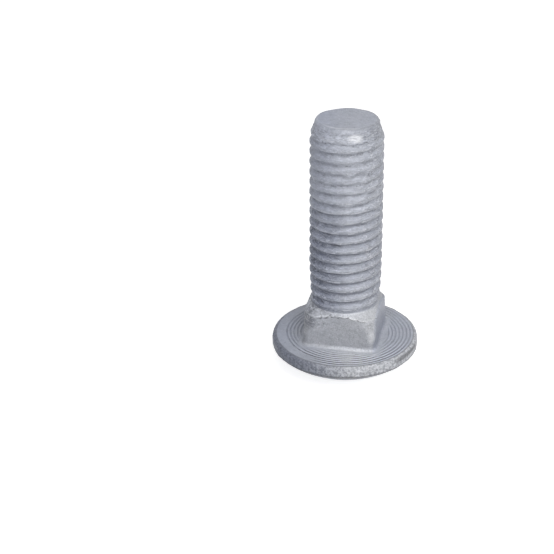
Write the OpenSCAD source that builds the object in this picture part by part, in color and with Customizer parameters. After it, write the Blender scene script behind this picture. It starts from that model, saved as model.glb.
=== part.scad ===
// Carriage bolt, 5/8 inch with 11 turns an inch, 2 inches long, hot-dip galvanised.
// It stands on the crown of its head: Z is the axis, and Z = 0 is the crown's lowest point.
// The square neck's flats face along X and Y.

/* [Shank] */
// Length from the underside of the head to the end face
length = 50.8; // [36:0.1:75]
// Diameter of the flat end face
end_face_d = 13.1; // [8:0.1:14]
// Length of the chamfer on the end
end_chamfer_l = 3.5; // [1:0.1:5]
// Radius where the end face turns into the chamfer
end_edge_r = 0.9; // [0.1:0.05:1]

/* [Thread] */
// Diameter over the crests, with the zinc
thread_d = 15.8; // [14:0.05:18]
// Diameter at the bottom of the groove, with the zinc
root_d = 13.1; // [11:0.05:13.8]
// Diameter of the blank before the thread was rolled on it
blank_d = 14.6; // [14:0.05:15.5]
// Pitch of the thread: 11 turns in an inch
pitch = 2.309; // [1.9:0.001:2.8]
// Length over which the crests grow to their full height above the neck
run_out_l = 9; // [2:0.5:20]
// Smooth length at the end before the groove starts
lead_in_l = 0.9; // [0:0.1:4]
// Direction in which the groove starts at the end, in degrees
thread_start = 45; // [0:5:360]

/* [Neck] */
// Width across the flats
neck_w = 16; // [15:0.1:17.5]
// Height of the flats at their middle
neck_h = 8.1; // [5:0.1:12]
// Radius of the upright corners
neck_corner_r = 1.5; // [0.5:0.1:2.5]
// Width over the corners, just under the shoulder
corner_top_d = 18.9; // [18.5:0.1:22]
// Slope of the round bevels on the corners, which narrow towards the head, in degrees from the axis
corner_taper = 14; // [4:1:30]
// Slope of the round shoulder above the flats, in degrees from the axis
shoulder_angle = 65; // [35:1:75]
// Radius of the fillet where the neck meets the head
neck_fillet_r = 0.9; // [0.3:0.1:1.5]

/* [Head] */
// Diameter of the head
head_d = 32.35; // [28:0.05:38]
// Height of the head, from the crown's flat to the bearing face
head_h = 8.2; // [6:0.1:11]
// Height of the upright rim
rim_h = 2.5; // [1:0.1:4]
// Radius of the rim's edges
rim_edge_r = 0.9; // [0.1:0.05:1]
// Diameter of the flat spot in the middle of the crown
crown_flat_d = 8; // [4:0.5:12]

/* [Hidden] */
$fn = 96;
zinc = [0.66, 0.67, 0.70];
overlap = 0.5;

head_r = head_d / 2;
neck_r = neck_w / 2;
crest_r = thread_d / 2;
root_r = root_d / 2;
blank_r = blank_d / 2;
end_r = end_face_d / 2;
end_z = head_h + length;

// The dome passes through the edge of the crown's flat and the lower edge of the rim.
dome_h = head_h - rim_h;
dome_z = (pow(dome_h, 2) + pow(head_r, 2) - pow(crown_flat_d / 2, 2)) / (2 * dome_h);
dome_r = norm([dome_z, crown_flat_d / 2]);

// The shoulder meets the middle of each flat at the neck's height. It narrows upwards from there
// until it is inside the shank, and widens downwards to the top of the corners' bevels.
corner_top_r = corner_top_d / 2;
shoulder_top_r = blank_r - overlap;
shoulder_top_h = neck_h + (neck_r - shoulder_top_r) / tan(shoulder_angle);
shoulder_low_h = neck_h - (corner_top_r - neck_r) / tan(shoulder_angle);
bevel_low_r = corner_top_r + (shoulder_low_h + overlap) * tan(corner_taper);

// The thread form over one pitch, from groove to groove: how far along the pitch,
// and how high between root (0) and crest (1).
thread_form = [[0, 0], [0.1, 0.18], [0.33, 0.86], [0.5, 1], [0.67, 0.86], [0.9, 0.18]];
form_points = len(thread_form);
steps_per_turn = 30;
thread_low_z = head_h + neck_h - pitch;
thread_turns = ceil((end_z + overlap - thread_low_z) / pitch);
rows = thread_turns * steps_per_turn;
groove_z = end_z - ceil((end_z - thread_low_z) / pitch) * pitch - pitch * thread_start / 360;

function fraction(x) = max(0, min(1, x));

// How much of the groove's depth and of the crest's height stand at height z.
function groove_share(z) =
    fraction((z - head_h - neck_h) / pitch) * fraction((end_z - lead_in_l - z) / pitch);
function crest_share(z) = sqrt(fraction((z - head_h - neck_h) / run_out_l));

function surface_r(z, form) =
    let (crest = blank_r + (crest_r - blank_r) * crest_share(z))
    let (root = crest - (crest - root_r) * groove_share(z))
    root + (crest - root) * form;

// Point number j of the thread form, on row k of the helix.
function helix_point(k, j) =
    let (angle = 360 * k / steps_per_turn)
    let (z = groove_z + pitch * (k / steps_per_turn + thread_form[j][0]))
    let (r = surface_r(z, thread_form[j][1]))
    [r * cos(angle), r * sin(angle), z];

// The form's last point joins the first point of the turn above.
function point_index(k, j) =
    j < form_points ? k * form_points + j : (k + steps_per_turn) * form_points;

module threaded_rod() {
    points = [for (k = [0 : rows]) for (j = [0 : form_points - 1]) helix_point(k, j)];
    low_tip = len(points);
    high_tip = low_tip + 1;
    axis_points = [[0, 0, groove_z], [0, 0, groove_z + pitch * (thread_turns + 1)]];
    sides = [
        for (k = [0 : rows - 1])
            for (j = [0 : form_points - 1])
                if (j < form_points - 1 || k + steps_per_turn < rows)
                    let (a = point_index(k, j), b = point_index(k + 1, j))
                    let (c = point_index(k + 1, j + 1), d = point_index(k, j + 1))
                    each [[a, c, b], [a, d, c]]
    ];
    low_edge = concat(
        [for (k = [0 : steps_per_turn]) point_index(k, 0)],
        [for (j = [form_points - 1 : -1 : 1]) point_index(0, j)]
    );
    high_edge = concat(
        [for (k = [rows - steps_per_turn : rows]) point_index(k, form_points - 1)],
        [for (j = [form_points - 2 : -1 : 0]) point_index(rows, j)]
    );
    low_cap = [for (i = [0 : len(low_edge) - 1])
        [low_tip, low_edge[i], low_edge[(i + 1) % len(low_edge)]]];
    high_cap = [for (i = [0 : len(high_edge) - 1])
        [high_tip, high_edge[(i + 1) % len(high_edge)], high_edge[i]]];
    polyhedron(concat(points, axis_points), concat(sides, low_cap, high_cap));
}

// Section of everything inside the chamfered end: the chamfer runs on outwards past the crests,
// and an arc that touches it and the end face rounds the edge between them.
module end_section() {
    slope = atan((crest_r - end_r) / end_chamfer_l);
    wide_r = crest_r + overlap;
    wide_z = end_z - (wide_r - end_r) / tan(slope);
    arc_x = end_r - end_edge_r * tan(45 - slope / 2);
    arc_z = end_z - end_edge_r;
    touch_x = arc_x + end_edge_r * cos(slope);
    touch_z = arc_z + end_edge_r * sin(slope);
    translate([arc_x, arc_z]) circle(r = end_edge_r);
    polygon([
        [0, 0], [wide_r, 0], [wide_r, wide_z], [touch_x, touch_z], [arc_x, arc_z],
        [arc_x, end_z], [0, end_z]
    ]);
}

module shank() {
    intersection() {
        threaded_rod();
        rotate_extrude() end_section();
    }
}

module neck_section() {
    inner = neck_w - 2 * neck_corner_r;
    square([neck_w, inner], center = true);
    square([inner, neck_w], center = true);
    for (x = [-inner / 2, inner / 2], y = [-inner / 2, inner / 2])
        translate([x, y]) circle(r = neck_corner_r);
}

// The square stands a little taller than the turned form, and is cut off by its top.
module neck() {
    translate([0, 0, head_h])
        intersection() {
            translate([0, 0, -overlap])
                linear_extrude(shoulder_top_h + 2 * overlap) neck_section();
            rotate_extrude()
                polygon([
                    [0, -overlap],
                    [bevel_low_r, -overlap],
                    [corner_top_r, shoulder_low_h],
                    [shoulder_top_r, shoulder_top_h],
                    [0, shoulder_top_h]
                ]);
        }
}

// Section of the fillet, against a wall at x = 0 and a floor at y = 0.
module fillet_section() {
    difference() {
        translate([-overlap, -overlap]) square(neck_fillet_r + overlap);
        translate([neck_fillet_r, neck_fillet_r]) circle(r = neck_fillet_r);
    }
}

// The fillet around the foot of the neck: four straight runs and four corners.
module neck_fillet() {
    run = neck_w - 2 * neck_corner_r;
    translate([0, 0, head_h])
        for (side = [0 : 3]) rotate(90 * side) {
            translate([neck_r, run / 2, 0])
                rotate([90, 0, 0]) linear_extrude(run) fillet_section();
            translate([run / 2, run / 2, 0])
                rotate_extrude(angle = 90) translate([neck_corner_r, 0]) fillet_section();
        }
}

module head_section() {
    intersection() {
        translate([0, dome_z]) circle(r = dome_r, $fn = 4 * $fn);
        union() {
            square([head_r - rim_edge_r, head_h]);
            square([head_r, head_h - rim_edge_r]);
            translate([head_r - rim_edge_r, head_h - rim_edge_r]) circle(r = rim_edge_r);
        }
    }
}

module head() {
    rotate_extrude() head_section();
}

module bolt() {
    color(zinc) {
        head();
        neck();
        neck_fillet();
        shank();
    }
}

bolt();
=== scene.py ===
"""Galvanised carriage bolt, 5/8 inch by 2 inches, standing on the crown of its head.

The bolt's sizes are in millimetres, and its finished skin is scaled to metres. The
distances and sizes of the lamps are in metres.
"""

import math
import random

import bmesh
import bpy
from mathutils import Matrix, Vector, kdtree, noise


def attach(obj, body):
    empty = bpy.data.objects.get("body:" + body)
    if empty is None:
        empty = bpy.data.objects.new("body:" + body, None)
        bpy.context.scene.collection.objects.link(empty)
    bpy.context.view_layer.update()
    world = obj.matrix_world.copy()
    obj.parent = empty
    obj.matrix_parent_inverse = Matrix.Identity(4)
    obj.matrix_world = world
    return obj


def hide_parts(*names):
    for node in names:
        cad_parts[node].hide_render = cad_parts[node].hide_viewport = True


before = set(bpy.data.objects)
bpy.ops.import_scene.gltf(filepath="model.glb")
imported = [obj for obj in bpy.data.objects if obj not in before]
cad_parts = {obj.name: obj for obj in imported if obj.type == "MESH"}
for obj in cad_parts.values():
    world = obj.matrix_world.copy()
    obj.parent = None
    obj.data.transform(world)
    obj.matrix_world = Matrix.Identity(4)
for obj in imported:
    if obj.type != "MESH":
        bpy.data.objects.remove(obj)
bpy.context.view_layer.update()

MM = 0.001

# Directions as angles from the right, counter-clockwise seen from above
LEFT_SIDE = math.radians(190)
FILLED_SIDE = math.radians(305)

# Head
HEAD_R = 16.12
HEAD_H = 8.2
RIM_H = 2.5
RIM_EDGE_R = 1.0
DOME_EDGE = 0.3
CROWN_FLAT_R = 4.0
RING_FIRST_R = 9.67
RING_STEP = 0.805
RING_DEPTH = 0.22
RING_LAST_R = 14.9
RING_ZONE_R = 12.0
RING_FADE = 0.6
WORN_FROM_R = 12.9
WORN_FADE = 0.8

# Neck
NECK_R = 8.0
NECK_H = 8.1
NECK_CORNER_R = 1.5
CORNER_TOP_R = 9.45
CORNER_TAPER = math.radians(14)
SHOULDER_ANGLE = math.radians(65)
FILLET_R = 0.9
EDGE_SOFTNESS = 0.3

# Thread
CREST_R = 7.9
ROOT_R = 6.85
BLANK_R = 7.3
PITCH = 2.309
RUN_OUT_L = 9.0
LEAD_IN_L = 0.9
THREAD_START = math.radians(45)
GROOVE_BOTTOM = 0.11
CREST_EDGE = 0.4
FORM_ROUNDING = 0.35

# End
END_Z = 59.0
END_FACE_R = 6.55
END_CHAMFER_L = 3.5
END_EDGE_R = 0.9

# Zinc coat
LUMPS = 90
LUMP_REACH = 0.55
LUMP_HEIGHT = 0.07
LIP_REACH = 0.45
LIP_HEIGHT = 0.3
BROAD_HEIGHT = 0.04
FINE_HEIGHT = 0.02
RIPPLE_HEIGHT = 0.05
CRUST_HEIGHT = 0.07
LEDGE_HEIGHT = 0.14
SEED = 11

# Places of single marks, as x, y and z: a painted glint on the chamfer, light crust on the right
# corner that is partly painted highlight, and painted shade on the left corner
END_GLINT_SPOT = (3.0, -6.4, 57.2)
RIGHT_CORNER = (7.4, -7.4, 13.8)
RIGHT_CORNER_TIP = (7.4, -7.3, 11.4)
LEFT_CORNER = (-7.3, -7.3, 14.3)

# The left as an azimuth, and the heights between which the marks of the shank change
LEFT_AZIMUTH = -79.5
MID_SHANK = (44.0, 34.0)

# Mesh
SEGMENTS = 180
ROWS_PER_PITCH = 18

# Worked out from the sizes above
FLATS_TOP_Z = HEAD_H + NECK_H
NECK_TOP_Z = FLATS_TOP_Z + 0.5
DOME_H = HEAD_H - RIM_H
DOME_Z = (DOME_H**2 + HEAD_R**2 - CROWN_FLAT_R**2) / (2 * DOME_H)
DOME_R = math.hypot(DOME_Z, CROWN_FLAT_R)
SHOULDER_LOW_H = NECK_H - (CORNER_TOP_R - NECK_R) / math.tan(SHOULDER_ANGLE)
SIDE_TOP_H = SHOULDER_LOW_H - 0.6
CHAMFER_SLOPE = (CREST_R - END_FACE_R) / END_CHAMFER_L
GROOVE_Z = END_Z - PITCH * THREAD_START / math.tau


def share(value):
    return max(0.0, min(1.0, value))


def steps(start, stop, count):
    """Count values from start towards stop, without stop itself."""
    return [start + (stop - start) * i / count for i in range(count)]


def soft_min(a, b, softness):
    """The smaller of two values, rounded over where they meet."""
    near = max(softness - abs(a - b), 0) / softness
    return min(a, b) - near * near * softness / 4


def unevenness(point, size, seed):
    """Smooth noise from -1 to 1, whose lumps are about that size."""
    return noise.noise(point / size + Vector((seed * 17.3, seed * 5.1, seed * 9.7)))


# Head. Each function that takes t and an angle is one stretch of the bolt's outline, with t going
# from 0 to 1 along it, and gives a radius and a height.


def crown_flat(t, angle):
    return CROWN_FLAT_R * t, 0.0


def dome(t, angle):
    r = CROWN_FLAT_R + (HEAD_R - DOME_EDGE - CROWN_FLAT_R) * t
    return r, DOME_Z - math.sqrt(DOME_R**2 - r**2)


def rim(t, angle):
    low, high = DOME_H + DOME_EDGE / 2, HEAD_H - RIM_EDGE_R
    return HEAD_R, low + (high - low) * t


def rim_edge(t, angle):
    turn = t * math.pi / 2
    r = HEAD_R - RIM_EDGE_R + RIM_EDGE_R * math.cos(turn)
    return r, HEAD_H - RIM_EDGE_R + RIM_EDGE_R * math.sin(turn)


def underside(t, angle):
    r = HEAD_R - RIM_EDGE_R + (RING_ZONE_R - HEAD_R + RIM_EDGE_R) * t
    return r, HEAD_H - ring_depth(r) * (1 - worn(r, angle))


def ring_valley(r):
    """How deep the turning marks are at radius r, from 0 on a ridge to 1 in a groove."""
    if r > RING_LAST_R:
        return 0.0
    return (0.5 + 0.5 * math.cos(math.tau * (r - RING_FIRST_R) / RING_STEP)) ** 3


def ring_depth(r):
    return RING_DEPTH * ring_valley(r)


def worn(r, angle):
    """How far the turning marks are worn away, from 0 to 1: wholly on the outer left."""
    leftward = share(0.3 + 1.4 * math.cos(angle - LEFT_SIDE))
    return share((r - WORN_FROM_R) / WORN_FADE) * leftward


# Neck


def square_r(angle):
    """Distance from the axis to the side of the rounded square in that direction."""
    quarter = angle % (math.pi / 2)
    a = min(quarter, math.pi / 2 - quarter)
    inner = NECK_R - NECK_CORNER_R
    if NECK_R * math.tan(a) <= inner:
        return NECK_R / math.cos(a)
    across = inner * (math.cos(a) - math.sin(a))
    return inner * (math.cos(a) + math.sin(a)) + math.sqrt(NECK_CORNER_R**2 - across**2)


def turned_r(h):
    """Radius of the bevels and of the round shoulder, at a height above the head."""
    if h < SHOULDER_LOW_H:
        return CORNER_TOP_R + (SHOULDER_LOW_H - h) * math.tan(CORNER_TAPER)
    return CORNER_TOP_R - (h - SHOULDER_LOW_H) * math.tan(SHOULDER_ANGLE)


def neck_r(h, angle):
    r = soft_min(square_r(angle), turned_r(h), EDGE_SOFTNESS)
    return max(r, shank_r(HEAD_H + h, angle))


def foot(t, angle):
    """The underside from the round zone of turning marks in to the fillet of the square neck."""
    inner = square_r(angle) + FILLET_R
    r = RING_ZONE_R + (inner - RING_ZONE_R) * t
    return r, HEAD_H - ring_depth(r) * share((r - inner) / RING_FADE)


def fillet(t, angle):
    turn = t * math.pi / 2
    wall = neck_r(FILLET_R, angle)
    r = wall + (square_r(angle) + FILLET_R - wall) * (1 - math.sin(turn))
    return r, HEAD_H + FILLET_R * (1 - math.cos(turn))


def neck_side(t, angle):
    h = FILLET_R + (SIDE_TOP_H - FILLET_R) * t
    return neck_r(h, angle), HEAD_H + h


def shoulder(t, angle):
    h = SIDE_TOP_H + (NECK_TOP_Z - HEAD_H - SIDE_TOP_H) * t
    return neck_r(h, angle), HEAD_H + h


# Thread


def thread_phase(z, angle):
    """Distance from the middle of the nearest groove, in pitches, from 0 to 0.5."""
    place = Vector((CREST_R * math.cos(angle), CREST_R * math.sin(angle), z))
    sway = 0.035 * unevenness(place, 2.4, seed=6)
    turns = (z - GROOVE_Z) / PITCH - angle / math.tau + sway
    return abs((turns + 0.5) % 1.0 - 0.5)


def groove_share(z):
    """How fully the groove is cut at a height, from 0 to 1."""
    return share((z - FLATS_TOP_Z) / PITCH) * share((END_Z - LEAD_IN_L - z) / PITCH)


def thread_form(phase):
    """Height of the thread form, from 0 in the groove to 1 on the crest."""
    flank = share((phase - GROOVE_BOTTOM) / (CREST_EDGE - GROOVE_BOTTOM))
    rounded = flank * flank * (3 - 2 * flank)
    return flank + FORM_ROUNDING * (rounded - flank)


def groove_fill(z, angle):
    """Share of the groove that the zinc has filled, which differs along its length."""
    place = Vector((CREST_R * math.cos(angle), CREST_R * math.sin(angle), z * 1.4))
    leftward = share(1.6 * math.cos(angle - LEFT_SIDE) - 0.6)
    high_up = (0.36 + 0.16 * leftward) * share((z - 34) / 12)
    front_right = 0.25 * share(1.6 * math.cos(angle - FILLED_SIDE) - 0.6)
    return high_up + front_right + 0.45 * share(0.1 + 1.4 * unevenness(place, 2.6, seed=5))


def shank_r(z, angle):
    """Radius of the shank, whose crests grow out of the blank over the run-out."""
    run_out = math.sqrt(share((z - FLATS_TOP_Z) / RUN_OUT_L))
    crest = BLANK_R + (CREST_R - BLANK_R) * run_out
    depth = (crest - ROOT_R) * groove_share(z) * (1 - groove_fill(z, angle))
    return crest - depth * (1 - thread_form(thread_phase(z, angle)))


def chamfer_r(z):
    return END_FACE_R + (END_Z - z) * CHAMFER_SLOPE


def shank(t, angle):
    z = NECK_TOP_Z + (END_Z - END_EDGE_R - NECK_TOP_Z) * t
    return soft_min(shank_r(z, angle), chamfer_r(z), EDGE_SOFTNESS), z


def end_edge(t, angle):
    turn = t * math.pi / 2
    start = shank(1.0, angle)[0]
    r = start - END_EDGE_R * (1 - math.cos(turn))
    return r, END_Z - END_EDGE_R * (1 - math.sin(turn))


def end_face(t, angle):
    rim_r = shank(1.0, angle)[0] - END_EDGE_R
    return rim_r * (1 - t), END_Z


def bolt_rows():
    """Every row of the skin, from the crown up to the end face, as (stretch, how far along it)."""
    shank_rows = round((END_Z - NECK_TOP_Z) / PITCH * ROWS_PER_PITCH)
    stretches = [
        (crown_flat, 6),
        (dome, 22),
        (rim, 7),
        (rim_edge, 7),
        (underside, 52),
        (foot, 34),
        (fillet, 6),
        (neck_side, 16),
        (shoulder, 26),
        (shank, shank_rows),
        (end_edge, 5),
        (end_face, 12),
    ]
    rows = [(stretch, t) for stretch, count in stretches for t in steps(0.0, 1.0, count)]
    return rows + [(end_face, 1.0)]


# Zinc coat


def on_thread(z):
    """1 on the thread, falling to 0 over a pitch at both its ends."""
    return share((z - FLATS_TOP_Z) / PITCH) * share((END_Z - z) / PITCH)


def rough_edge(point):
    """Ragged lip where the flats of the neck meet the shoulder and the bevels."""
    h = point.z - HEAD_H
    if not 2.0 < h < NECK_H + 0.3:
        return 0.0
    angle = math.atan2(point.y, point.x)
    near = share(1 - abs(square_r(angle) - turned_r(h)) / LIP_REACH)
    return near * (0.05 + LIP_HEIGHT * unevenness(point, 0.8, seed=7))


def coat(point, lumps):
    """Unevenness of the zinc coat at a point, measured outwards from the metal."""
    at_rim = share(math.hypot(point.x, point.y) - RING_LAST_R)
    at_end = share(point.z - END_Z + END_CHAMFER_L)
    closer = Vector((point.x, point.y, point.z * 1.6))
    wider = Vector((point.x / 5, point.y / 5, point.z))
    broad = BROAD_HEIGHT * unevenness(point, 4.0, seed=1)
    fine = FINE_HEIGHT * unevenness(point, 1.1, seed=2)
    ripple = RIPPLE_HEIGHT * on_thread(point.z) * unevenness(closer, 2.2, seed=3)
    crust = CRUST_HEIGHT * at_rim * unevenness(point, 0.8, seed=4)
    ledges = LEDGE_HEIGHT * at_end * unevenness(wider, 0.75, seed=8)
    near = [share(1 - d / LUMP_REACH) for _, _, d in lumps.find_range(point, LUMP_REACH)]
    lumpy = LUMP_HEIGHT * sum(x * x for x in near)
    return broad + fine + ripple + crust + ledges + rough_edge(point) + lumpy


# Skin


def spun_grid(bm, count):
    """A tube of unit radius whose rows stand one above the other."""
    profile = [bm.verts.new((1.0, 0.0, float(i))) for i in range(count)]
    edges = [bm.edges.new(pair) for pair in zip(profile, profile[1:])]
    bmesh.ops.spin(
        bm,
        geom=profile + edges,
        cent=(0, 0, 0),
        axis=(0, 0, 1),
        dvec=(0, 0, 0),
        angle=math.tau,
        steps=SEGMENTS,
        use_merge=True,
    )


def place_vertices(bm, rows):
    """Moves each vertex of the tube to where its stretch of the bolt's outline has it."""
    for vert in bm.verts:
        stretch, t = rows[round(vert.co.z)]
        angle = math.atan2(vert.co.y, vert.co.x) % math.tau
        r, z = stretch(t, angle)
        vert.co = (r * math.cos(angle), r * math.sin(angle), z)


def add_coat(bm):
    """Swells the skin along its normals, with small lumps at seeded places."""
    bm.normal_update()
    chosen = random.Random(SEED).sample(list(bm.verts), LUMPS)
    lumps = kdtree.KDTree(LUMPS)
    for i, vert in enumerate(chosen):
        lumps.insert(vert.co, i)
    lumps.balance()
    for vert in bm.verts:
        on_crown = vert.co.z < 0.3
        if not on_crown:
            vert.co += vert.normal * coat(vert.co, lumps)


def make_bolt():
    rows = bolt_rows()
    bm = bmesh.new()
    spun_grid(bm, len(rows))
    place_vertices(bm, rows)
    bmesh.ops.remove_doubles(bm, verts=bm.verts, dist=1e-4)
    bmesh.ops.recalc_face_normals(bm, faces=bm.faces)
    add_coat(bm)
    bmesh.ops.scale(bm, vec=(MM, MM, MM), verts=bm.verts)
    mesh = bpy.data.meshes.new("bolt_skin")
    bm.to_mesh(mesh)
    bm.free()
    for face in mesh.polygons:
        face.use_smooth = True
    skin = bpy.data.objects.new("bolt_skin", mesh)
    bpy.context.scene.collection.objects.link(skin)
    return skin


# Materials


class Nodes:
    """Short ways to add and join the nodes of one tree."""

    def __init__(self, tree):
        self.tree = tree

    def fill(self, socket, value):
        """Sets a socket to a value, or joins it to the socket that gives the value."""
        if isinstance(value, bpy.types.NodeSocket):
            self.tree.links.new(value, socket)
        else:
            socket.default_value = value

    def add(self, kind, inputs=None, **settings):
        node = self.tree.nodes.new(kind)
        for name, value in settings.items():
            setattr(node, name, value)
        for name, value in (inputs or {}).items():
            self.fill(node.inputs[name], value)
        return node

    def math(self, operation, a, b=0.0):
        return self.add("ShaderNodeMath", {0: a, 1: b}, operation=operation).outputs[0]

    def times(self, *values):
        """The product of several values."""
        product = values[0]
        for value in values[1:]:
            product = self.math("MULTIPLY", product, value)
        return product

    def mix(self, amount, a, b, blend="MIX"):
        inputs = {0: amount, 6: a, 7: b}
        node = self.add("ShaderNodeMix", inputs, data_type="RGBA", blend_type=blend)
        return node.outputs[2]

    def spread(self, value, low, high, to_low=0.0, to_high=1.0):
        """Carries low to to_low and high to to_high, and stops at both. Low may be the larger."""
        limits = {"From Min": low, "From Max": high, "To Min": to_low, "To Max": to_high}
        return self.add("ShaderNodeMapRange", {"Value": value, **limits}).outputs[0]

    def between(self, value, low, high, soft):
        """1 where a value lies between low and high, falling to 0 over a soft margin outside."""
        rising = self.spread(value, low - soft, low)
        return self.times(rising, self.spread(value, high + soft, high))

    def scale(self, vector, x, y, z):
        node = self.add("ShaderNodeVectorMath", {0: vector, 1: (x, y, z)}, operation="MULTIPLY")
        return node.outputs[0]

    def noise(self, place, scale, detail=3.0, roughness=0.5):
        inputs = {"Vector": place, "Scale": scale, "Detail": detail, "Roughness": roughness}
        return self.add("ShaderNodeTexNoise", inputs).outputs[0]


class Spot:
    """Where a shaded point lies on the bolt, in millimetres: its place, x, y and z, its distance r
    from the axis, and how wide it lies on the square of the neck."""

    def __init__(self, n):
        self.n = n
        metres = n.add("ShaderNodeTexCoord").outputs["Object"]
        self.place = n.scale(metres, 1 / MM, 1 / MM, 1 / MM)
        self.x, self.y, self.z = n.add("ShaderNodeSeparateXYZ", {0: self.place}).outputs
        squares = n.math("ADD", n.times(self.x, self.x), n.times(self.y, self.y))
        self.r = n.math("SQRT", squares)
        self.wide = n.math("MAXIMUM", n.math("ABSOLUTE", self.x), n.math("ABSOLUTE", self.y))

    def toward(self, azimuth, low, high, to_low=0.0, to_high=1.0):
        """Grows from to_low to to_high while the distance from the axis in one direction goes from
        low to high. Azimuth 0 is in front, and 90 to the right."""
        a = math.radians(azimuth)
        rightward = self.n.times(self.x, math.sin(a))
        forward = self.n.times(self.y, -math.cos(a))
        return self.n.spread(self.n.math("ADD", rightward, forward), low, high, to_low, to_high)

    def near(self, centre, reach):
        """1 at a point of the bolt, falling to 0 at some reach from it."""
        inputs = {0: self.place, 1: centre}
        gap = self.n.add("ShaderNodeVectorMath", inputs, operation="DISTANCE").outputs["Value"]
        return self.n.spread(gap, reach, reach * 0.4)

    def stretched(self, around, along):
        """The place scaled around the bolt and along it, for noise that runs in streaks."""
        return self.n.scale(self.place, around, around, along)


class Areas:
    """How far a spot belongs to each area of the bolt, from 0 to 1."""

    def __init__(self, n, spot):
        z, r = spot.z, spot.r
        self.head = n.spread(z, HEAD_H + 0.4, HEAD_H + 0.2)
        self.head_face = n.between(z, HEAD_H - 0.25, HEAD_H + 0.15, 0.1)
        self.rim = n.times(n.spread(r, 15.2, 15.5), n.between(z, 5.5, HEAD_H + 0.4, 0.3))
        self.neck = n.times(
            n.between(z, HEAD_H + 0.25, NECK_TOP_Z - 0.2, 0.3), n.spread(r, 11.9, 11.4)
        )
        self.neck_front = n.times(spot.toward(15.0, 3.0, 7.5), self.neck)
        self.shank = n.spread(z, NECK_TOP_Z - 0.2, NECK_TOP_Z + 0.4)
        self.shank_low_left = n.times(
            spot.toward(LEFT_AZIMUTH, -2.0, 7.5), n.between(z, 18.0, 34.0, 8.0)
        )
        self.chamfer = n.times(n.spread(z, 55.6, 56.2), n.spread(r, 5.9, 6.4))
        self.end_face = n.times(n.spread(z, END_Z - 0.5, END_Z - 0.1), n.spread(r, 6.2, 5.9))
        self.right_corner = spot.near(RIGHT_CORNER, 2.4)


class Grain:
    """The patterns of the zinc that more than one layer uses."""

    def __init__(self, n, spot, thread):
        self.streaked = spot.stretched(0.35, 2.2)
        self.mottle = n.spread(n.noise(spot.place, 1.1, 5.0, 0.7), 0.3, 0.7)
        self.crust = n.spread(n.noise(spot.place, 1.9, 3.0, 0.7), 0.42, 0.6)
        self.scratch = n.spread(n.noise(spot.stretched(0.5, 4.0), 1.6, 3.0, 0.6), 0.35, 0.65)
        in_places = n.spread(n.noise(spot.place, 0.9, 2.0, 0.5), 0.5, 0.6)
        self.seam = n.times(thread.crest, in_places)


class ThreadMarks:
    """How near a spot is to the crevice, the top and the lower edge of a crest, and to the shade
    around the groove. The crevice and the shade are masks for painted shade, and the lip for
    painted glints."""

    def __init__(self, n, spot):
        angle = n.math("DIVIDE", n.math("ARCTAN2", spot.y, spot.x), math.tau)
        height = n.math("DIVIDE", n.math("SUBTRACT", spot.z, GROOVE_Z), PITCH)
        turns = n.math("SUBTRACT", height, angle)
        half_on = n.math("FRACT", n.math("ADD", turns, 0.5))
        from_groove = n.math("ABSOLUTE", n.math("SUBTRACT", half_on, 0.5))
        above_groove = n.math("FRACT", turns)
        starts = n.spread(spot.z, FLATS_TOP_Z, FLATS_TOP_Z + 1.5)
        ends = n.spread(spot.z, END_Z - LEAD_IN_L, END_Z - LEAD_IN_L - 1.5)
        threaded = n.times(starts, ends)
        shade = n.math(
            "MAXIMUM", n.spread(above_groove, 0.66, 0.92), n.spread(above_groove, 0.25, 0.15)
        )
        self.crevice = n.times(n.between(above_groove, 0.05, 0.14, 0.04), threaded)
        self.crest = n.times(n.spread(from_groove, 0.44, 0.5), threaded)
        self.lip = n.times(n.between(above_groove, 0.39, 0.42, 0.03), threaded)
        self.shade = n.times(shade, threaded)


def grey(value, blue=0.0):
    """Red, green, blue and alpha of a grey, with a share more blue and less red in it."""
    return (value * (1 - blue), value * (1 - blue * 0.5), value * (1 + blue), 1.0)


class Layers:
    """A colour that is built up layer by layer."""

    def __init__(self, n, colour):
        self.n = n
        self.colour = colour

    def paint(self, where, strength, tone):
        """Lays a tone over the colour."""
        self.colour = self.n.mix(self.n.times(where, strength), self.colour, tone)

    def tint(self, where, tone):
        """Multiplies the colour by a tone."""
        self.colour = self.n.mix(where, self.colour, tone, "MULTIPLY")


def base_zinc(n, spot, grain):
    """The mottled colour that all of the zinc starts from."""
    blotch = n.spread(n.noise(spot.place, 0.28, 4.0, 0.6), 0.35, 0.65)
    streak = n.spread(n.noise(grain.streaked, 1.0, 4.0, 0.6), 0.35, 0.7)
    layers = Layers(n, n.mix(blotch, grey(0.41, 0.09), grey(0.47, 0.085)))
    layers.paint(grain.mottle, 0.5, grey(0.6, 0.075))
    layers.paint(streak, 0.3, grey(0.36, 0.09))
    return layers


def tint_areas(n, spot, areas, grain, layers):
    """The tone of each area, with a painted highlight on the front of the shoulder and painted
    shade on the right flat and the left corner of the neck. Returns how far a spot lies above the
    end of the flats.
    """
    rise = n.math("DIVIDE", n.math("SUBTRACT", spot.r, NECK_R), math.tan(SHOULDER_ANGLE))
    over_flats = n.math("SUBTRACT", n.math("ADD", spot.z, rise), FLATS_TOP_Z)
    shoulder = n.times(n.spread(over_flats, -0.5, -0.2), areas.neck_front)
    shoulder_right = n.times(shoulder, spot.toward(55.0, 6.5, 9.0))
    flat_right_shade = n.times(areas.neck, n.spread(spot.x, 7.5, 7.8))
    scratched = n.times(areas.shank, grain.scratch, n.spread(spot.z, *MID_SHANK, 0.7, 1.3))
    layers.tint(scratched, grey(0.84))
    layers.tint(areas.neck, grey(1.07, -0.03))
    # Painted highlight on the front of the shoulder, toned down again towards the right.
    layers.tint(shoulder, grey(1.52, -0.02))
    layers.tint(shoulder_right, grey(0.8))
    # Painted shade: the right flat is made darker and bluer.
    layers.tint(flat_right_shade, grey(0.9, 0.05))
    # Painted shade on the left corner of the neck.
    layers.tint(spot.near(LEFT_CORNER, 3.0), grey(0.55, 0.03))
    layers.tint(areas.head_face, grey(1.16, -0.03))
    return over_flats


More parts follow.
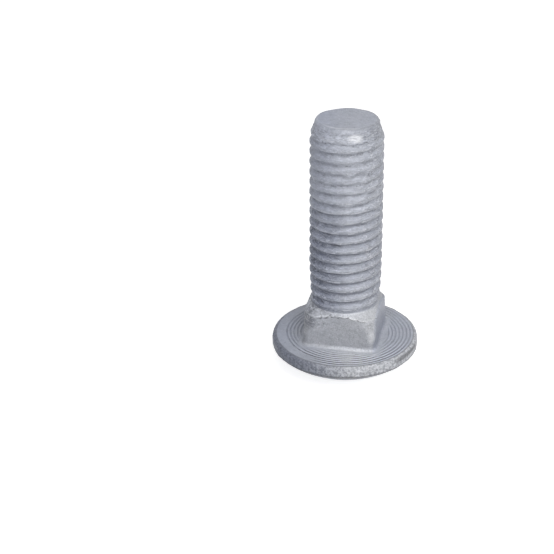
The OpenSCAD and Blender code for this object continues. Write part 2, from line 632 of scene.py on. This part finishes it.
def add_specks(n, spot, layers):
    """Fine light specks and dark pits, all over."""
    speck = n.spread(n.noise(spot.place, 4.5, 2.0, 0.5), 0.6, 0.72)
    pits = n.spread(n.noise(spot.place, 2.4, 3.0, 0.6), 0.38, 0.3)
    layers.paint(speck, 0.5, grey(0.8, 0.03))
    layers.paint(pits, 0.5, grey(0.17, 0.1))


def add_flecks(n, spot, areas, layers):
    """Fine streaks around the shank and the chamfer, fainter on the neck."""
    noise_place = spot.stretched(0.5, 2.2)
    fleck = n.spread(n.noise(noise_place, 2.0, 3.0, 0.6), 0.38, 0.62, 0.76, 1.24)
    upper = n.math("ADD", n.times(areas.shank, 0.5), n.times(areas.chamfer, 0.5))
    where = n.math("ADD", upper, n.times(areas.neck, 0.2))
    layers.tint(n.times(where, n.spread(spot.z, END_Z - 0.3, END_Z - 0.7)), fleck)


def colour_end(n, spot, areas, grain, layers):
    """The chamfer, the end face, and between them a painted glint on the chamfer and a painted
    highlight along the front of the edge.
    """
    layers.paint(n.times(areas.chamfer, grain.crust), 0.2, grey(0.75, 0.04))
    layers.tint(areas.end_face, grey(0.955, 0.02))
    layers.tint(n.times(spot.toward(80.0, 2.0, 5.0), areas.chamfer), grey(0.79, 0.01))
    add_flecks(n, spot, areas, layers)
    band = n.between(spot.z, 56.6, 57.9, 0.4)
    streaky = n.spread(n.noise(grain.streaked, 1.4, 2.0, 0.5), 0.3, 0.55)
    # Painted glint on the chamfer.
    layers.paint(n.times(spot.near(END_GLINT_SPOT, 1.9), band, streaky), 0.65, grey(0.85, 0.02))
    # Painted highlight along the front of the end face's edge.
    face_edge_highlight = n.times(n.between(spot.r, 5.75, 6.0, 0.2), n.spread(spot.z, 58.3, 58.6))
    layers.paint(n.times(face_edge_highlight, spot.toward(-5.0, 4.0, 5.5)), 0.45, grey(0.75, 0.03))


def colour_neck(n, spot, areas, grain, layers):
    """The flaked corner at the right with light crust that is partly painted highlight, the grain
    of the flats, and a painted highlight on the fillet in front.
    """
    flakes = n.spread(n.noise(spot.place, 1.3, 4.0, 0.7), 0.5, 0.58)
    # Light crust on the right corner, partly real crust and partly painted highlight, with dark
    # flakes; its lower tip is a painted highlight.
    layers.paint(n.times(areas.right_corner, grain.crust), 0.35, grey(0.8, 0.02))
    layers.paint(n.times(areas.right_corner, flakes), 0.6, grey(0.25, 0.03))
    layers.paint(spot.near(RIGHT_CORNER_TIP, 1.5), 0.3, grey(0.85, 0.01))
    fine_grain = n.spread(n.noise(spot.place, 3.4, 3.0, 0.6), 0.4, 0.62)
    layers.tint(n.times(areas.neck, fine_grain), grey(0.8))
    # Painted highlight on the fillet in front.
    foot = n.between(spot.z, HEAD_H + 0.15, HEAD_H + 0.75, 0.1)
    fillet_front_highlight = n.times(foot, spot.toward(10.0, 7.5, 8.0))
    layers.tint(n.times(areas.neck, fillet_front_highlight), grey(1.2))


def colour_thread(n, spot, areas, grain, thread, layers):
    """Light crests, painted glints on the lower edges of the crests, painted shade around the
    grooves and in the crevices, and dark and light scratches at the sides.
    """
    glint = n.times(thread.lip, n.spread(n.noise(spot.place, 0.7, 3.0, 0.6), 0.46, 0.54))
    layers.paint(grain.seam, 0.4, grey(0.75, 0.04))
    # Painted glints on the lower edges of the crests, stronger lower down.
    layers.paint(glint, n.spread(spot.z, *MID_SHANK, 0.45, 0.9), grey(0.88, 0.03))
    # Painted shade around the groove, lower down.
    layers.tint(n.times(thread.shade, n.spread(spot.z, 46.0, 36.0)), grey(0.87, 0.02))

    wander = n.noise(spot.stretched(0.5, 1.5), 0.9, 2.0, 0.5)
    right = n.times(areas.shank, spot.toward(70.0, 5.0, 7.5, 0.0, 0.6))
    scratchy = n.math("MAXIMUM", areas.shank_low_left, right)
    dark_line = n.times(n.between(wander, 0.46, 0.475, 0.02), scratchy)
    light_line = n.times(n.between(wander, 0.52, 0.535, 0.02), scratchy)
    layers.paint(dark_line, 0.7, grey(0.14, 0.06))
    layers.paint(light_line, 0.6, grey(0.85, 0.03))

    broken_crevice_shade = n.spread(n.noise(spot.place, 0.75, 4.0, 0.7), 0.5, 0.62)
    # Painted shade in the crevices, stronger lower down, and in broken strokes.
    layers.paint(thread.crevice, n.spread(spot.z, *MID_SHANK, 0.02, 0.25), grey(0.15, 0.08))
    layers.paint(n.times(thread.crevice, broken_crevice_shade), 0.7, grey(0.13, 0.08))


def colour_rings(n, spot, areas, layers):
    """Painted shade in the grooves and painted highlights on the ridges of the turning marks,
    strongest in front, and painted shade on the right of the underside.
    """
    turn = n.times(n.math("SUBTRACT", spot.r, RING_FIRST_R), math.tau / RING_STEP)
    wave = n.math("COSINE", turn)
    clear_of_rim = n.spread(spot.r, RING_LAST_R + 0.3, RING_LAST_R)
    clear_of_foot = n.spread(spot.wide, NECK_R + FILLET_R - 0.1, NECK_R + FILLET_R + 0.9)
    ringed = n.times(areas.head_face, clear_of_rim, clear_of_foot)
    inner = n.spread(spot.r, WORN_FROM_R + 0.4, WORN_FROM_R)
    unworn = n.math("MAXIMUM", inner, spot.toward(LEFT_AZIMUTH, 8.0, 4.0))
    where = n.times(ringed, spot.toward(10.5, 3.0, 12.0, 0.08, 1.0), unworn)
    # Painted shade in the grooves and painted highlights on the ridges, strongest in front.
    layers.tint(n.times(n.spread(wave, -0.1, 0.7), where), grey(0.16))
    layers.tint(n.times(n.spread(wave, -0.1, -0.8), where), grey(1.6))
    # Painted shade on the right of the underside, darker and bluer.
    layers.tint(n.times(spot.toward(95.0, 3.0, 11.0), areas.head_face), grey(0.84, 0.04))


def add_crack(n, spot, areas, over_flats, layers):
    """The broken dark line where a flat ends under the shoulder."""
    shift = n.times(n.math("SUBTRACT", n.noise(spot.place, 0.9, 3.0, 0.6), 0.5), 1.6)
    line = n.between(n.math("ADD", over_flats, shift), -0.34, -0.2, 0.1)
    on_flat = n.spread(spot.wide, 7.4, 7.7)
    broken = n.spread(n.noise(spot.place, 0.8, 4.0, 0.7), 0.36, 0.5)
    layers.paint(n.times(line, on_flat, areas.neck_front), broken, grey(0.2, 0.05))


def colour_rim(n, spot, areas, grain, layers):
    """Crusty zinc, with a dark upper edge, painted shade along the lower edge and on the left, and
    one dark notch at the right.
    """
    right = n.times(spot.toward(40.0, 5.0, 12.0), areas.rim)
    left = n.times(spot.toward(-55.0, 5.0, 13.0), areas.rim)
    upper_edge = n.times(n.between(spot.r, 15.2, 15.35, 0.1), n.spread(spot.z, 7.6, 7.8))
    lower_edge_shade = n.times(n.between(spot.z, 5.2, 5.9, 0.3), n.spread(spot.r, 14.6, 15.2))
    notch = n.times(spot.toward(70.0, 15.2, 15.7), n.between(spot.z, 7.2, 7.7, 0.3))
    layers.paint(areas.rim, 0.6, n.mix(grain.crust, grey(0.28, 0.04), grey(0.74, 0.03)))
    layers.paint(n.times(right, grain.crust), 0.45, grey(0.8, 0.03))
    layers.paint(upper_edge, 0.5, grey(0.15, 0.04))
    # Painted shade along the lower edge, under the rim.
    layers.paint(lower_edge_shade, 0.7, grey(0.14, 0.05))
    # Painted shade on the left of the rim.
    layers.tint(left, grey(0.58, 0.05))
    layers.paint(notch, 0.7, grey(0.12, 0.05))


def tint_left_side(n, spot, areas, grain, layers):
    """Painted shade on the left of the head and the shank, and darker patches on the lower left of
    the thread.
    """
    dark_patch = n.spread(n.noise(grain.streaked, 0.8, 4.0, 0.75), 0.44, 0.58)
    # Painted shade on the left of the head, darker and bluer.
    layers.tint(n.times(spot.toward(LEFT_AZIMUTH, -1.0, 15.0), areas.head), grey(0.66, 0.085))
    # Painted shade on the lower left and on the left of the shank.
    layers.tint(areas.shank_low_left, grey(0.98, 0.03))
    layers.tint(n.times(spot.toward(LEFT_AZIMUTH, 0.0, 7.0), areas.shank), grey(0.92, 0.045))
    layers.tint(n.times(areas.shank_low_left, dark_patch), grey(0.58, 0.03))


def zinc_height(n, spot, areas, grain):
    """Relief too fine for the mesh."""
    lumps = n.noise(spot.place, 1.6, 4.0, 0.65)
    height = n.math("ADD", lumps, n.times(grain.crust, areas.rim, 0.6))
    height = n.math("ADD", height, n.times(grain.scratch, areas.shank, 0.25))
    return n.math("ADD", height, n.times(grain.seam, 0.4))


def make_zinc():
    zinc = bpy.data.materials.new("galvanised_zinc")
    zinc.use_nodes = True
    n = Nodes(zinc.node_tree)
    spot = Spot(n)
    areas = Areas(n, spot)
    thread = ThreadMarks(n, spot)
    grain = Grain(n, spot, thread)

    layers = base_zinc(n, spot, grain)
    over_flats = tint_areas(n, spot, areas, grain, layers)
    add_specks(n, spot, layers)
    colour_end(n, spot, areas, grain, layers)
    colour_neck(n, spot, areas, grain, layers)
    colour_thread(n, spot, areas, grain, thread, layers)
    colour_rings(n, spot, areas, layers)
    add_crack(n, spot, areas, over_flats, layers)
    colour_rim(n, spot, areas, grain, layers)
    tint_left_side(n, spot, areas, grain, layers)

    height = zinc_height(n, spot, areas, grain)
    bump = n.add("ShaderNodeBump", {"Strength": 0.8, "Distance": 0.0002, "Height": height})
    shader = zinc.node_tree.nodes["Principled BSDF"]
    n.fill(shader.inputs["Base Color"], layers.colour)
    n.fill(shader.inputs["Roughness"], n.spread(grain.mottle, 0.0, 1.0, 0.6, 0.42))
    n.fill(shader.inputs["Metallic"], 0.2)
    n.fill(shader.inputs["Normal"], bump.outputs[0])
    return zinc


def seen(n):
    """1 where the camera, a mirror or glass looks, and 0 for the light that falls on things."""
    path = n.add("ShaderNodeLightPath").outputs
    looked_at = n.math("MAXIMUM", path["Is Camera Ray"], path["Is Glossy Ray"])
    return n.math("MAXIMUM", looked_at, path["Is Transmission Ray"])


def make_floor_material():
    """Grey enough for soft light to come back from it, and white where it is seen."""
    white = bpy.data.materials.new("white_paper")
    white.use_nodes = True
    n = Nodes(white.node_tree)
    shader = white.node_tree.nodes["Principled BSDF"]
    shader.inputs["Base Color"].default_value = grey(0.7)
    shader.inputs["Roughness"].default_value = 0.9
    shader.inputs["Specular IOR Level"].default_value = 0.0
    glow = n.add("ShaderNodeEmission", {"Strength": n.times(seen(n), 0.8)})
    both = n.add("ShaderNodeAddShader", {0: shader.outputs[0], 1: glow.outputs[0]})
    n.fill(white.node_tree.nodes["Material Output"].inputs["Surface"], both.outputs[0])
    return white


# Studio


def make_floor():
    bm = bmesh.new()
    bmesh.ops.create_grid(bm, x_segments=1, y_segments=1, size=3.0)
    mesh = bpy.data.meshes.new("floor")
    bm.to_mesh(mesh)
    bm.free()
    mesh.materials.append(make_floor_material())
    floor = bpy.data.objects.new("floor", mesh)
    bpy.context.scene.collection.objects.link(floor)


def make_world():
    """White where it is seen or mirrored, and a soft grey light on everything else."""
    world = bpy.data.worlds.new("studio")
    world.use_nodes = True
    bpy.context.scene.world = world
    n = Nodes(world.node_tree)
    background = world.node_tree.nodes["Background"]
    background.inputs["Color"].default_value = grey(1.0)
    n.fill(background.inputs["Strength"], n.spread(seen(n), 0.0, 1.0, 0.15, 1.0))


def add_softbox(name, azimuth, elevation, distance, size, power):
    """A square lamp aimed at the middle of the bolt. Azimuth 0 is in front, and 90 to the right.
    Distance and size are in metres."""
    a, e = math.radians(azimuth), math.radians(elevation)
    middle = Vector((0, 0, END_Z / 2 * MM))
    back = Vector((math.sin(a) * math.cos(e), -math.cos(a) * math.cos(e), math.sin(e)))
    lamp = bpy.data.lights.new(name, "AREA")
    lamp.size = size
    lamp.energy = power
    box = bpy.data.objects.new(name, lamp)
    box.location = middle + back * distance
    box.rotation_euler = (-back).to_track_quat("-Z", "Y").to_euler()
    bpy.context.scene.collection.objects.link(box)


def make_camera():
    """The angles pan, tilt and roll the camera from looking straight down."""
    pan, tilt, roll = math.radians(13.301), math.radians(62.599), math.radians(-0.674)
    camera_data = bpy.data.cameras.new("camera")
    camera_data.sensor_width = 36.0
    camera_data.lens = 100.917
    camera_data.clip_end = 20.0
    camera = bpy.data.objects.new("camera", camera_data)
    place = Matrix.Translation(Vector((54.88, -297.3, 178.59)) * MM)
    turn = Matrix.Rotation(pan, 4, "Z") @ Matrix.Rotation(tilt, 4, "X")
    camera.matrix_world = place @ turn @ Matrix.Rotation(roll, 4, "Z")
    bpy.context.scene.collection.objects.link(camera)
    bpy.context.scene.camera = camera


bolt = make_bolt()
bolt.data.materials.append(make_zinc())
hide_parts("bolt")
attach(bolt, "root")

make_floor()
make_world()
add_softbox("key", 42.0, 41.0, 0.6, 0.4, 1.9)
add_softbox("front", 12.0, 50.0, 0.6, 0.4, 1.4)
add_softbox("back", 200.0, 12.0, 0.6, 0.4, 0.2)
make_camera()
bpy.context.scene.view_settings.view_transform = "Standard"
